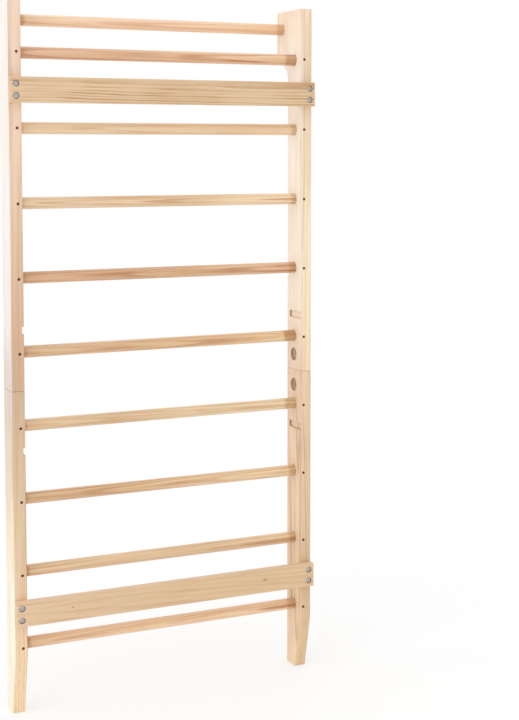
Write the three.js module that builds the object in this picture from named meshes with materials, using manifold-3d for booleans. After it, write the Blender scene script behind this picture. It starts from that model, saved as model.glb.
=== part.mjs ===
// Wooden wall bars: a ladder of round rungs between two uprights, each upright in an upper and a
// lower board bolted end to end, with two rails across the back that meet the wall.
// Millimetres. Origin: centre of the upper rail's wall face. +X to the right seen from the room,
// +Y into the wall, +Z up.

import * as THREE from 'three';
import { mergeVertices } from 'three/addons/utils/BufferGeometryUtils.js';
import Module from 'manifold-3d';

const wasm = await Module();
wasm.setup();

// ---------------------------------------------------------------- driving dimensions

// Clearance between pieces that touch or fit in one another
const CONTACT_GAP = 0.3;

// Ladder
const FRAME_WIDTH = 886; // over the outer faces of the uprights
const RUNG_DIAMETER = 32;
const RUNG_PITCH = 200;
const RUNGS_ABOVE_JOINT = 5; // evenly spaced rungs in the upper boards, without the head rung
const RUNGS_BELOW_JOINT = 4;
const RUNG_SEAT_DEPTH = 25; // how far each rung end goes into its upright
const FLOOR_TO_LOWEST_RUNG = 189;

// Upright boards
const UPRIGHT_THICKNESS = 35;
const UPRIGHT_DEPTH = 86;
const FOOT_DEPTH = 51; // at the floor, where the back edge leaves room for a skirting board
const FOOT_TAPER_HEIGHT = 160;

// Head, which carries the top rung in front of the others
const HEAD_DEPTH = 160;
const HEAD_FRONT_HEIGHT = 115; // straight part of the front edge, down from the top
const HEAD_NOSE_RADIUS = 20;
const HEAD_NECK_RADIUS = 40;
const HEAD_SLOPE = THREE.MathUtils.degToRad(55); // underside, measured from the vertical
const HEAD_RUNG_RISE = 93; // above the rung below it
const HEAD_ABOVE_RUNG = 51;
const HEAD_RUNG_SETBACK = 34; // rung axis behind the head's front edge

// Wall rails, each midway between two rungs
const RAIL_HEIGHT = 68;
const RAIL_THICKNESS = 22;
const RAIL_SCREW_PITCH = 32; // two screws, one above the other, at each rail end
const RAIL_SCREW_INSET = 16; // from the rail's end
const RAIL_SCREW_HEAD_DIAMETER = 16;
const RAIL_SCREW_HEAD_HEIGHT = 4.5;
const RAIL_SCREW_RIM_HEIGHT = 2.8; // straight edge of the head, below its dome
const RAIL_SCREW_RECESS = 2; // top of the head below the rail's wall face
const RAIL_SCREW_COUNTERBORE_DIAMETER = 17.4;
const RAIL_SCREW_SHANK_DIAMETER = 6;
const RAIL_SCREW_GRIP = 45; // length in the upright
const RAIL_SCREW_SOCKET = 5; // across the flats of the hexagon socket
const RAIL_SCREW_SOCKET_DEPTH = 2.5;

// Locking screws, one into each rung end
const LOCK_INSET = 12; // from the upright's inner face
const LOCK_HEAD_DIAMETER = 6;
const LOCK_HEAD_HEIGHT = 2.5;
const LOCK_SHANK_DIAMETER = 4;
const LOCK_RECESS = 4; // top of the head below the wood
const LOCK_PAST_AXIS = 2; // tip beyond the rung's axis
const SCREW_TIP_LENGTH = 5;

// Bolted joint between an upper and a lower board
const ACCESS_DIAMETER = 38; // hole in the inner face that reaches the nut
const ACCESS_OFFSET = 45; // hole centre from the joint
const ACCESS_FLOOR_CLEARANCE = 2.5; // from the nut to the bottom of the access hole
const ROD_DIAMETER = 8;
const ROD_INSET = 14; // from the upright's inner face
const ROD_PAST_NUT = 3;
const ROD_BORE_CLEARANCE = 0.5; // round the rod, in the boards and in the washers
const NUT_ACROSS_FLATS = 13;
const NUT_HEIGHT = 6.5;
const WASHER_HEIGHT = 7.5; // half-moon washer, from its flat to its round back
const WASHER_WIDTH = 14;
const DOWEL_DIAMETER = 8;
const DOWEL_LENGTH = 40;
const DOWEL_SPREAD = 28; // each dowel in front of or behind the rod
const DOWEL_CHAMFER = 1;

// Recesses for wall brackets in the inner faces, open at the back
const RECESS_OFFSET = 163; // centre from the joint
const RECESS_HEIGHT = 20;
const RECESS_DEPTH = 5.5;
const RECESS_FRONT_WALL = 16; // wood left in front of the recess
const RECESS_CORNER_RADIUS = 5;

// Facets
const RUNG_SIDES = 24;
const BORE_SIDES = 8;
const ACCESS_SIDES = 24;
const HEAD_SIDES = 16;

// Overshoot of a cutting tool beyond the face it leaves through
const CUT_PAST = 1;

// ---------------------------------------------------------------- worked-out places

// Across: x of the inner face; inside an upright, x runs outwards from that face
const innerX = FRAME_WIDTH / 2 - UPRIGHT_THICKNESS;
const railScrewX = UPRIGHT_THICKNESS - RAIL_SCREW_INSET;

// Depth
const uprightBackY = -RAIL_THICKNESS - CONTACT_GAP;
const uprightFrontY = uprightBackY - UPRIGHT_DEPTH;
const uprightMiddleY = uprightBackY - UPRIGHT_DEPTH / 2;
const headFrontY = uprightBackY - HEAD_DEPTH;
const headRungY = headFrontY + HEAD_RUNG_SETBACK;
const footBackY = uprightFrontY + FOOT_DEPTH;

// Height: rung 2 stands half a pitch above the upper rail
const evenRungZ = (index) => RUNG_PITCH / 2 - index * RUNG_PITCH;
const upperRungZs = range(RUNGS_ABOVE_JOINT).map(evenRungZ);
const lowerRungZs = range(RUNGS_BELOW_JOINT).map((i) => evenRungZ(i + RUNGS_ABOVE_JOINT));
const jointZ = evenRungZ(RUNGS_ABOVE_JOINT - 0.5);
const upperRailZ = evenRungZ(0.5);
const lowerRailZ = evenRungZ(RUNGS_ABOVE_JOINT + RUNGS_BELOW_JOINT - 1.5);
const headRungZ = evenRungZ(0) + HEAD_RUNG_RISE;
const topZ = headRungZ + HEAD_ABOVE_RUNG;
const floorZ = lowerRungZs.at(-1) - FLOOR_TO_LOWEST_RUNG;

// Fits
const rungSeatRadius = RUNG_DIAMETER / 2 + CONTACT_GAP;
const rungLength = 2 * (innerX + RUNG_SEAT_DEPTH - CONTACT_GAP);
const nutCornerRadius = NUT_ACROSS_FLATS / Math.sqrt(3);
const accessDepth = ROD_INSET + Math.max(nutCornerRadius, WASHER_WIDTH / 2) + ACCESS_FLOOR_CLEARANCE;
const washerRadius = ACCESS_DIAMETER / 2 - CONTACT_GAP;
const washerFlat = washerRadius - WASHER_HEIGHT; // from the access hole's centre
const rodHalfLength = ACCESS_OFFSET - washerFlat + CONTACT_GAP + NUT_HEIGHT + ROD_PAST_NUT;

// ---------------------------------------------------------------- finishes

const woods = {
  upright: { color: 0xeed6b4, roughness: 0.6, metalness: 0 },
  rung: { color: 0xdcb68a, roughness: 0.5, metalness: 0 },
  rail: { color: 0xdab88c, roughness: 0.65, metalness: 0 },
  dowel: { color: 0xe6cfa8, roughness: 0.6, metalness: 0 },
};
const zinc = { color: 0xb9bcc0, roughness: 0.35, metalness: 1 };

// ---------------------------------------------------------------- helpers

function range(count) {
  return Array.from({ length: count }, (_, index) => index);
}

function piece(name, geometry, finish, x = 0, y = 0, z = 0) {
  const mesh = new THREE.Mesh(geometry, new THREE.MeshStandardMaterial(finish));
  mesh.name = name;
  mesh.position.set(x, y, z);
  return mesh;
}

function solidOf(geometry) {
  const bare = geometry.index ? geometry.toNonIndexed() : geometry.clone();
  bare.deleteAttribute('normal');
  bare.deleteAttribute('uv');
  const merged = mergeVertices(bare);
  return new wasm.Manifold(
    new wasm.Mesh({
      numProp: 3,
      vertProperties: merged.attributes.position.array,
      triVerts: new Uint32Array(merged.index.array),
    }),
  );
}

function cut(geometry, tools) {
  const left = tools.reduce((body, tool) => body.subtract(solidOf(tool)), solidOf(geometry));
  const mesh = left.getMesh();
  const result = new THREE.BufferGeometry();
  result.setAttribute('position', new THREE.BufferAttribute(mesh.vertProperties, 3));
  result.setIndex(new THREE.BufferAttribute(mesh.triVerts, 1));
  result.computeVertexNormals();
  return result;
}

// A cylinder from one point along an axis ('x', 'y' or 'z') by a signed length
function rod(radius, axis, from, length, sides) {
  const geometry = new THREE.CylinderGeometry(radius, radius, Math.abs(length), sides);
  if (axis === 'x') geometry.rotateZ(-Math.PI / 2);
  if (axis === 'z') geometry.rotateX(Math.PI / 2);
  const middle = new THREE.Vector3(...from);
  middle[axis] += length / 2;
  return geometry.translate(middle.x, middle.y, middle.z);
}

// An outline in depth and height, extruded across
function extrudeAcross(outline, fromX, width, curveSegments = 8) {
  const geometry = new THREE.ExtrudeGeometry(outline, { depth: width, bevelEnabled: false, curveSegments });
  const turn = new THREE.Matrix4().makeBasis(
    new THREE.Vector3(0, 1, 0),
    new THREE.Vector3(0, 0, 1),
    new THREE.Vector3(1, 0, 0),
  );
  return geometry.applyMatrix4(turn).translate(fromX, 0, 0);
}

function outlineOf(points) {
  return new THREE.Shape(points.map(([y, z]) => new THREE.Vector2(y, z)));
}

// ---------------------------------------------------------------- upright boards

function upperOutline() {
  const noseZ = topZ - HEAD_FRONT_HEIGHT;
  const arcs = HEAD_NOSE_RADIUS + HEAD_NECK_RADIUS;
  const overhang = HEAD_DEPTH - UPRIGHT_DEPTH;
  const slopeLength = (overhang - arcs * (1 - Math.cos(HEAD_SLOPE))) / Math.sin(HEAD_SLOPE);
  const neckZ = noseZ - arcs * Math.sin(HEAD_SLOPE) - slopeLength * Math.cos(HEAD_SLOPE);
  const outline = new THREE.Shape();
  outline.moveTo(uprightBackY, jointZ + CONTACT_GAP / 2);
  outline.lineTo(uprightBackY, topZ);
  outline.lineTo(headFrontY, topZ);
  outline.lineTo(headFrontY, noseZ);
  outline.absarc(headFrontY + HEAD_NOSE_RADIUS, noseZ, HEAD_NOSE_RADIUS, Math.PI, Math.PI + HEAD_SLOPE);
  outline.absarc(uprightFrontY - HEAD_NECK_RADIUS, neckZ, HEAD_NECK_RADIUS, HEAD_SLOPE, 0, true);
  outline.lineTo(uprightFrontY, jointZ + CONTACT_GAP / 2);
  return outline;
}

function lowerOutline() {
  return outlineOf([
    [uprightBackY, jointZ - CONTACT_GAP / 2],
    [uprightFrontY, jointZ - CONTACT_GAP / 2],
    [uprightFrontY, floorZ],
    [footBackY, floorZ],
    [uprightBackY, floorZ + FOOT_TAPER_HEIGHT],
  ]);
}

// Blind hole for a rung end, and the stepped bore of its locking screw from the face at faceY
function rungSeatCuts(rungY, rungZ, faceY) {
  const inward = Math.sign(rungY - faceY);
  const outside = faceY - inward * CUT_PAST;
  const headSeat = LOCK_RECESS + LOCK_HEAD_HEIGHT + CONTACT_GAP;
  return [
    rod(rungSeatRadius, 'x', [-CUT_PAST, rungY, rungZ], RUNG_SEAT_DEPTH + CUT_PAST, RUNG_SIDES),
    rod(
      LOCK_HEAD_DIAMETER / 2 + CONTACT_GAP,
      'y',
      [LOCK_INSET, outside, rungZ],
      inward * (headSeat + CUT_PAST),
      BORE_SIDES,
    ),
    rod(
      LOCK_SHANK_DIAMETER / 2 + CONTACT_GAP,
      'y',
      [LOCK_INSET, outside, rungZ],
      inward * (Math.abs(rungY - faceY) + CUT_PAST),
      BORE_SIDES,
    ),
  ];
}

function railScrewZs(railZ) {
  return [railZ + RAIL_SCREW_PITCH / 2, railZ - RAIL_SCREW_PITCH / 2];
}

function railScrewCuts(railZ) {
  const radius = RAIL_SCREW_SHANK_DIAMETER / 2 + CONTACT_GAP;
  const depth = RAIL_SCREW_GRIP + CONTACT_GAP + CUT_PAST;
  return railScrewZs(railZ).map((z) =>
    rod(radius, 'y', [railScrewX, uprightBackY + CUT_PAST, z], -depth, BORE_SIDES),
  );
}

// The board's share of the bolted joint; up is +1 in the upper board and -1 in the lower one
function jointCuts(up) {
  const outside = jointZ - up * CUT_PAST;
  const rodRadius = ROD_DIAMETER / 2 + ROD_BORE_CLEARANCE;
  const dowelRadius = DOWEL_DIAMETER / 2 + CONTACT_GAP;
  const dowelReach = up * (DOWEL_LENGTH / 2 + CONTACT_GAP + CUT_PAST);
  const accessZ = jointZ + up * ACCESS_OFFSET;
  return [
    rod(rodRadius, 'z', [ROD_INSET, uprightMiddleY, outside], up * (ACCESS_OFFSET + CUT_PAST), BORE_SIDES),
    rod(ACCESS_DIAMETER / 2, 'x', [-CUT_PAST, uprightMiddleY, accessZ], accessDepth + CUT_PAST, ACCESS_SIDES),
    ...[1, -1].map((way) =>
      rod(
        dowelRadius,
        'z',
        [UPRIGHT_THICKNESS / 2, uprightMiddleY + way * DOWEL_SPREAD, outside],
        dowelReach,
        BORE_SIDES,
      ),
    ),
  ];
}

function bracketRecessCut(up) {
  const middle = jointZ + up * RECESS_OFFSET;
  const low = middle - RECESS_HEIGHT / 2;
  const high = middle + RECESS_HEIGHT / 2;
  const front = uprightFrontY + RECESS_FRONT_WALL;
  const radius = Math.min(RECESS_CORNER_RADIUS, RECESS_HEIGHT / 2);
  const outline = new THREE.Shape();
  outline.moveTo(uprightBackY + CUT_PAST, low);
  outline.lineTo(uprightBackY + CUT_PAST, high);
  outline.absarc(front + radius, high - radius, radius, Math.PI / 2, Math.PI);
  outline.absarc(front + radius, low + radius, radius, Math.PI, 1.5 * Math.PI);
  return extrudeAcross(outline, -CUT_PAST, RECESS_DEPTH + CUT_PAST, 5);
}

function uprightBoard(outline, up, rungZs, railZ, extraCuts = []) {
  return cut(extrudeAcross(outline, 0, UPRIGHT_THICKNESS), [
    ...rungZs.flatMap((z) => rungSeatCuts(uprightMiddleY, z, uprightBackY)),
    ...railScrewCuts(railZ),
    ...jointCuts(up),
    bracketRecessCut(up),
    ...extraCuts,
  ]);
}

// ---------------------------------------------------------------- rungs and rails

// A rung along x about its own middle, bored for the locking screws from the side at fromY
function rung(fromY) {
  const radius = LOCK_SHANK_DIAMETER / 2 + CONTACT_GAP;
  const surface = fromY * (RUNG_DIAMETER / 2 + CUT_PAST);
  const depth = RUNG_DIAMETER / 2 + CUT_PAST + LOCK_PAST_AXIS + CONTACT_GAP;
  const bores = [1, -1].map((side) =>
    rod(radius, 'y', [side * (innerX + LOCK_INSET), surface, 0], -fromY * depth, BORE_SIDES),
  );
  return cut(rod(RUNG_DIAMETER / 2, 'x', [-rungLength / 2, 0, 0], rungLength, RUNG_SIDES), bores);
}

// A rail about its own middle, with a counterbored hole for each screw
function rail() {
  const wallY = RAIL_THICKNESS / 2;
  const counterbore = RAIL_SCREW_RECESS + RAIL_SCREW_HEAD_HEIGHT + CONTACT_GAP;
  const holes = [1, -1].flatMap((side) =>
    railScrewZs(0).flatMap((z) => {
      const start = [side * (innerX + railScrewX), wallY + CUT_PAST, z];
      return [
        rod(RAIL_SCREW_COUNTERBORE_DIAMETER / 2, 'y', start, -(counterbore + CUT_PAST), HEAD_SIDES),
        rod(
          RAIL_SCREW_SHANK_DIAMETER / 2 + CONTACT_GAP,
          'y',
          start,
          -(RAIL_THICKNESS + 2 * CUT_PAST),
          BORE_SIDES,
        ),
      ];
    }),
  );
  return cut(new THREE.BoxGeometry(FRAME_WIDTH, RAIL_THICKNESS, RAIL_HEIGHT), holes);
}

// ---------------------------------------------------------------- fasteners

function lathe(points, sides) {
  return new THREE.LatheGeometry(points.map(([r, y]) => new THREE.Vector2(r, y)), sides);
}

// A small screw about y: head top at 0, tip at -length
function lockScrew(length) {
  const head = LOCK_HEAD_DIAMETER / 2;
  const shank = LOCK_SHANK_DIAMETER / 2;
  return lathe(
    [
      [0, -length],
      [shank, -length + SCREW_TIP_LENGTH],
      [shank, -LOCK_HEAD_HEIGHT],
      [head, -LOCK_HEAD_HEIGHT],
      [head, 0],
      [0, 0],
    ],
    BORE_SIDES,
  );
}

// A domed screw with a hexagon socket, about y: head top at 0
function railScrew() {
  const head = RAIL_SCREW_HEAD_DIAMETER / 2;
  const shank = RAIL_SCREW_SHANK_DIAMETER / 2;
  const under = -RAIL_SCREW_HEAD_HEIGHT;
  const tip = -(RAIL_THICKNESS - RAIL_SCREW_RECESS + CONTACT_GAP + RAIL_SCREW_GRIP);
  const rim = under + RAIL_SCREW_RIM_HEIGHT;
  const dome = range(5).map((step) => {
    const angle = (step / 4) * (Math.PI / 2);
    return [head * Math.cos(angle), rim - rim * Math.sin(angle)];
  });
  dome.at(-1)[0] = 0;
  const body = lathe(
    [[0, tip], [shank, tip + SCREW_TIP_LENGTH], [shank, under], [head, under], ...dome],
    HEAD_SIDES,
  );
  const socketRadius = RAIL_SCREW_SOCKET / Math.sqrt(3);
  const socket = rod(socketRadius, 'y', [0, CUT_PAST, 0], -(RAIL_SCREW_SOCKET_DEPTH + CUT_PAST), 6);
  return cut(body, [socket]);
}

// Half-moon washer about the access hole's centre: round back towards the joint, flat under the nut
function halfMoonWasher(up) {
  const half = Math.acos(washerFlat / washerRadius);
  const middle = -up * (Math.PI / 2);
  const outline = new THREE.Shape();
  outline.absarc(0, 0, washerRadius, middle - half, middle + half);
  const blank = extrudeAcross(outline, -WASHER_WIDTH / 2, WASHER_WIDTH, 10);
  const bore = rod(
    ROD_DIAMETER / 2 + ROD_BORE_CLEARANCE,
    'z',
    [0, 0, 0],
    -up * (washerRadius + CUT_PAST),
    BORE_SIDES,
  );
  return cut(blank, [bore]);
}

function nut() {
  const blank = rod(nutCornerRadius, 'z', [0, 0, -NUT_HEIGHT / 2], NUT_HEIGHT, 6);
  const length = NUT_HEIGHT + 2 * CUT_PAST;
  return cut(blank, [rod(ROD_DIAMETER / 2 + CONTACT_GAP, 'z', [0, 0, -length / 2], length, BORE_SIDES)]);
}

function dowel() {
  const radius = DOWEL_DIAMETER / 2;
  const half = DOWEL_LENGTH / 2;
  const geometry = lathe(
    [
      [0, -half],
      [radius - DOWEL_CHAMFER, -half],
      [radius, -half + DOWEL_CHAMFER],
      [radius, half - DOWEL_CHAMFER],
      [radius - DOWEL_CHAMFER, half],
      [0, half],
    ],
    BORE_SIDES,
  );
  return geometry.rotateX(Math.PI / 2);
}

// ---------------------------------------------------------------- sub-assemblies

// Rod, nuts, half-moon washers and dowels that hold two boards end to end
function boltedJoint(name) {
  const group = new THREE.Group();
  group.position.set(0, uprightMiddleY, jointZ);
  const splice = rod(ROD_DIAMETER / 2, 'z', [0, 0, -rodHalfLength], 2 * rodHalfLength, BORE_SIDES);
  group.add(piece(`joint_rod_${name}`, splice, zinc, ROD_INSET));
  for (const [end, up] of [['upper', 1], ['lower', -1]]) {
    const accessZ = up * ACCESS_OFFSET;
    const nutZ = accessZ + up * (CONTACT_GAP + NUT_HEIGHT / 2 - washerFlat);
    group.add(piece(`joint_washer_${name}_${end}`, halfMoonWasher(up), zinc, ROD_INSET, 0, accessZ));
    group.add(piece(`joint_nut_${name}_${end}`, nut(), zinc, ROD_INSET, 0, nutZ));
  }
  for (const [place, way] of [['front', -1], ['back', 1]]) {
    const y = way * DOWEL_SPREAD;
    group.add(piece(`joint_dowel_${name}_${place}`, dowel(), woods.dowel, UPRIGHT_THICKNESS / 2, y));
  }
  return group;
}

// Locking screws of one upright: the head rung's comes from the front, the others' from the back
function lockScrews(name) {
  const group = new THREE.Group();
  const evenDepth = uprightBackY - LOCK_RECESS - uprightMiddleY;
  const headDepth = HEAD_RUNG_SETBACK - LOCK_RECESS;
  const front = piece(`rung_screw_${name}_01`, lockScrew(headDepth + LOCK_PAST_AXIS), zinc);
  front.position.set(LOCK_INSET, headFrontY + LOCK_RECESS, headRungZ);
  front.rotation.x = Math.PI;
  group.add(front);
  [...upperRungZs, ...lowerRungZs].forEach((z, index) => {
    const label = String(index + 2).padStart(2, '0');
    const geometry = lockScrew(evenDepth + LOCK_PAST_AXIS);
    const y = uprightBackY - LOCK_RECESS;
    group.add(piece(`rung_screw_${name}_${label}`, geometry, zinc, LOCK_INSET, y, z));
  });
  return group;
}

function railScrews(name) {
  const group = new THREE.Group();
  for (const [end, railZ] of [['upper', upperRailZ], ['lower', lowerRailZ]]) {
    railScrewZs(railZ).forEach((z, index) => {
      const label = `rail_screw_${end}_${name}_${index + 1}`;
      group.add(piece(label, railScrew(), zinc, railScrewX, -RAIL_SCREW_RECESS, z));
    });
  }
  return group;
}

// One upright with its fasteners, x outwards from its inner face
function uprightAssembly(name) {
  const group = new THREE.Group();
  const headSeat = rungSeatCuts(headRungY, headRungZ, headFrontY);
  const upper = uprightBoard(upperOutline(), 1, upperRungZs, upperRailZ, headSeat);
  const lower = uprightBoard(lowerOutline(), -1, lowerRungZs, lowerRailZ);
  group.add(piece(`upright_${name}_upper`, upper, woods.upright));
  group.add(piece(`upright_${name}_lower`, lower, woods.upright));
  group.add(boltedJoint(name), lockScrews(name), railScrews(name));
  return group;
}

// ---------------------------------------------------------------- the whole ladder

const wallBars = new THREE.Group();

for (const [name, side] of [['right', 1], ['left', -1]]) {
  const assembly = uprightAssembly(name);
  assembly.position.x = side * innerX;
  assembly.scale.x = side;
  wallBars.add(assembly);
}

wallBars.add(piece('rung_01', rung(-1), woods.rung, 0, headRungY, headRungZ));
[...upperRungZs, ...lowerRungZs].forEach((z, index) => {
  const label = `rung_${String(index + 2).padStart(2, '0')}`;
  wallBars.add(piece(label, rung(1), woods.rung, 0, uprightMiddleY, z));
});

const railY = -RAIL_THICKNESS / 2;
wallBars.add(piece('wall_rail_upper', rail(), woods.rail, 0, railY, upperRailZ));
wallBars.add(piece('wall_rail_lower', rail(), woods.rail, 0, railY, lowerRailZ));

export default wallBars;
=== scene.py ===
"""Finish for wooden wall bars: pine boards and turned rungs, zinc screws, and the bolted joints.

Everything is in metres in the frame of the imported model: +X to the right seen from the room,
+Y into the wall, +Z up. Each piece is cut as fine mesh over the box of its CAD node.
"""

import math

import bmesh
import bpy
from mathutils import Matrix, Vector
from mathutils.bvhtree import BVHTree


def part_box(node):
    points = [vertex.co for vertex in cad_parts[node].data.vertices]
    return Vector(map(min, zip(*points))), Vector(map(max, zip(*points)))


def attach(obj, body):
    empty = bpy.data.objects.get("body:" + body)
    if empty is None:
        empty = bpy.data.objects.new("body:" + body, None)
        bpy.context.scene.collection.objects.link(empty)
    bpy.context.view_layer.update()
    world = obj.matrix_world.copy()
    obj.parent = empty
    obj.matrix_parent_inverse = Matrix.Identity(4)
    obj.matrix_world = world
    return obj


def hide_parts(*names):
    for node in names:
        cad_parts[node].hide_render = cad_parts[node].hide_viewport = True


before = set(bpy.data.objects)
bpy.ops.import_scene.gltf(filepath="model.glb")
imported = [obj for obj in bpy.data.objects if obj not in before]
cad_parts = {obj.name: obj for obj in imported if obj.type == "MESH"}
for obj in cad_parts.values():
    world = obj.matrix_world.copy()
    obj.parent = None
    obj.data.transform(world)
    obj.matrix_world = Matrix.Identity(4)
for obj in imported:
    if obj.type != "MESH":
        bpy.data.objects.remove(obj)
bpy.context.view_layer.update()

MM = 0.001
BODY = "root"
SIDES = {"right": 1, "left": -1}
ENDS = {"upper": 1, "lower": -1}
PLACES = ("front", "back")
RUNG_COUNT = 10
UPPER_RUNGS = 6

# ---- sizes that the boxes don't give

# Boards
EDGE_ROUNDING = 1.5 * MM  # planed and sanded long edges
EDGE_STEPS = 4
CORNER_ROUNDING = 2 * MM
CORNER_STEPS = 4
HOLE_CHAMFER = 0.5 * MM
LOCK_CHAMFER = 0.9 * MM
SKIN = 0.15 * MM  # a face further than this from the uncut board's surface is a cut one
CUT_PAST = 1 * MM  # overshoot of a tool beyond the face it leaves through
WELD = 0.001 * MM  # corners closer than this are made one
CLEARANCE = 0.3 * MM  # round and below a screw, a dowel, and a rod in its nut

# Head and foot of an upright
HEAD_FRONT_HEIGHT = 115 * MM
NOSE_RADIUS = 20 * MM
NOSE_STEPS = 14
NECK_RADIUS = 40 * MM
NECK_STEPS = 18
HEAD_SLOPE = math.radians(55)
FOOT_DEPTH = 51 * MM
FOOT_TAPER_HEIGHT = 160 * MM
TAPER_ROUNDING = 12 * MM

# Rungs and their locking screws
RUNG_SIDES = 72
RUNG_SECTIONS = 16
RUNG_CHAMFER = 1.2 * MM
RUNG_BORE_SIDES = 16
SEAT_CLEARANCE = 0.2 * MM
SEAT_DEPTH = 25 * MM
LOCK_SIDES = 32
LOCK_SHANK = (2 * MM, 1.6 * MM)  # radius, and pitch of the thread
LOCK_HEAD_HEIGHT = 2.5 * MM
LOCK_TOP_EDGE = 0.4 * MM
LOCK_UNDER_EDGE = 0.2 * MM
LOCK_SOCKET = (2.5 * MM, 1.4 * MM)  # across flats, and deep

# Rail screws
RAIL_SIDES = 48
RAIL_HEAD_HEIGHT = 4.5 * MM
RAIL_RIM_HEIGHT = 2.8 * MM
RAIL_RIM_EDGE = 0.3 * MM
RAIL_LAND_RADIUS = 4.2 * MM  # the flat round the socket
RAIL_DOME_STEPS = 10
RAIL_SHANK = (3 * MM, 2.8 * MM)
RAIL_SOCKET = (5 * MM, 2.5 * MM)
RAIL_COUNTERBORE_RADIUS = 8.7 * MM
RAIL_PILOT_SIDES = 24

# Threads and sockets of both kinds of screw
THREAD_ROOT = 0.8  # share of the shank's radius
THREAD_FALLEN = 0.3  # share of the pitch where the ridge has fallen to the root
THREAD_RISING = 0.75  # share of the pitch where the next ridge begins
TIP_LENGTH = 5 * MM
TIP_BLUNTING = 0.2 * MM
TIP_RADIUS = 0.25 * MM
TIP_POINT = 0.05 * MM
SOCKET_LEAD = 0.3 * MM
SOCKET_LEAD_SIDES = 32
SOCKET_DRILLED_DEPTH = 1.25  # share of the socket's depth
SOCKET_DRILLED_FLOOR = 0.3  # share of its corner radius

# Bolted joint between an upper and a lower board
ACCESS_RADIUS = 19 * MM
ACCESS_SIDES = 64
ACCESS_OFFSET = 45 * MM
ACCESS_DEPTH = 24 * MM
ROD_SIDES = 24
ROD_CLEARANCE = 0.5 * MM
ROD_HOLE_SIDES = 32
ROD_PITCH = 1.25 * MM
ROD_SECTIONS = 8  # in one turn of the thread
ROD_THREAD_DEPTH = 0.6 * MM
ROD_THREAD_LENGTH = 24 * MM
NUT_ACROSS_FLATS = 13 * MM
NUT_CHAMFER = 0.3 * MM
NUT_CHAMFER_SLOPE = math.radians(30)
NUT_CHAMFER_SIDES = 64
WASHER_EDGE = 0.5 * MM
WASHER_STEPS = 24
DOWEL_FLUTES = 16
DOWEL_FLUTE_STEPS = 6
DOWEL_FLUTE_DEPTH = 0.35 * MM
DOWEL_CHAMFER = 1.2 * MM
DOWEL_HOLE_SIDES = 24

# Bracket recesses
RECESS_OFFSET = 163 * MM
RECESS_HEIGHT = 20 * MM
RECESS_DEPTH = 5.5 * MM
RECESS_FRONT_WALL = 16 * MM
RECESS_CORNER = 5 * MM
RECESS_STEPS = 8

# Edges with less turn than this, in degrees, are shaded smooth
SMOOTH_BELOW = 35
ROD_SMOOTH_BELOW = 60
DOWEL_SMOOTH_BELOW = 50

# ---- places from the frame

upper_low, upper_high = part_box("upright_right_upper")
lower_low, lower_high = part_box("upright_right_lower")
rod_low, rod_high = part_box("joint_rod_right")

INNER_X = upper_low.x  # inner face of the right upright; the left one mirrors it
BACK_Y = upper_high.y
FRONT_Y = lower_low.y
MIDDLE_Y = (BACK_Y + FRONT_Y) / 2
HEAD_FRONT_Y = upper_low.y
TOP_Z = upper_high.z
FLOOR_Z = lower_low.z
JOINT_Z = (upper_low.z + lower_high.z) / 2
ROD_RADIUS = (rod_high.y - rod_low.y) / 2


def box_of(node):
    """The lowest and highest corner of a CAD node's box, and its middle."""
    low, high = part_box(node)
    return low, high, (low + high) / 2


# ---- outlines and solids

# Along, across and up for a solid made along each axis
X, Y, Z = Vector((1, 0, 0)), Vector((0, 1, 0)), Vector((0, 0, 1))
WAYS = {"x": (X, Y, Z), "y": (Y, Z, X), "z": (Z, X, Y)}


def rounded(corners, inset=0.0):
    """An outline with rounded corners, each (across, up, radius, steps), anticlockwise."""
    points = [Vector((across, up)) for across, up, _, _ in corners]
    outline = []
    for index, (_, _, radius, steps) in enumerate(corners):
        arriving = (points[index] - points[index - 1]).normalized()
        leaving = (points[(index + 1) % len(points)] - points[index]).normalized()
        turn = math.atan2(arriving.cross(leaving), arriving.dot(leaving))
        inward = Vector((-arriving.y, arriving.x))
        inward_after = Vector((-leaving.y, leaving.x))
        shift = (inward + inward_after) * (inset / (1 + inward.dot(inward_after)))
        corner = points[index] + shift
        if radius == 0:
            outline.append(corner)
            continue
        bend = math.copysign(1, turn)
        arc_radius = radius - inset * bend
        start = corner - arriving * (arc_radius * math.tan(abs(turn) / 2))
        centre = start + inward * (arc_radius * bend)
        for step in range(steps + 1):
            outline.append(centre + Matrix.Rotation(turn * step / steps, 2) @ (start - centre))
    return outline


def corner_at(across, up, radius=CORNER_ROUNDING, steps=CORNER_STEPS):
    return across, up, radius, steps


def polar(reach, angle):
    return reach * math.cos(angle), reach * math.sin(angle)


def circle(radius, sides):
    return [polar(radius, 2 * math.pi * index / sides) for index in range(sides)]


def lofted(axis, origin, sections):
    """A closed mesh through outlines, each at its distance along the axis from the origin."""
    along, across, up = WAYS[axis]
    mesh = bmesh.new()
    loops = []
    for distance, outline in sections:
        centre = origin + along * distance
        loops.append([mesh.verts.new(centre + across * a + up * b) for a, b in outline])
    for near, far in zip(loops, loops[1:]):
        for index in range(len(near)):
            after = (index + 1) % len(near)
            mesh.faces.new((near[index], near[after], far[after], far[index]))
    mesh.faces.new(loops[0][::-1])
    mesh.faces.new(loops[-1])
    bmesh.ops.recalc_face_normals(mesh, faces=mesh.faces)
    return mesh


def turned(axis, start, way, profile, sides):
    """A lathe-turned solid: the profile is (distance from the start, radius), way is +1 or -1."""
    sections = [(way * distance, circle(radius, sides)) for distance, radius in profile]
    return lofted(axis, start, sections)


def bore(axis, mouth, way, steps, sides, chamfer=HOLE_CHAMFER):
    """A cutter for a hole with a chamfered mouth: steps are (depth, radius) from the mouth down."""
    first = steps[0][1]
    profile = [(-CUT_PAST, first + chamfer + CUT_PAST), (chamfer, first)]
    for index, (depth, radius) in enumerate(steps):
        if index:
            profile.append((steps[index - 1][0], radius))
        profile.append((depth, radius))
    return turned(axis, mouth, way, profile, sides)


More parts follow.
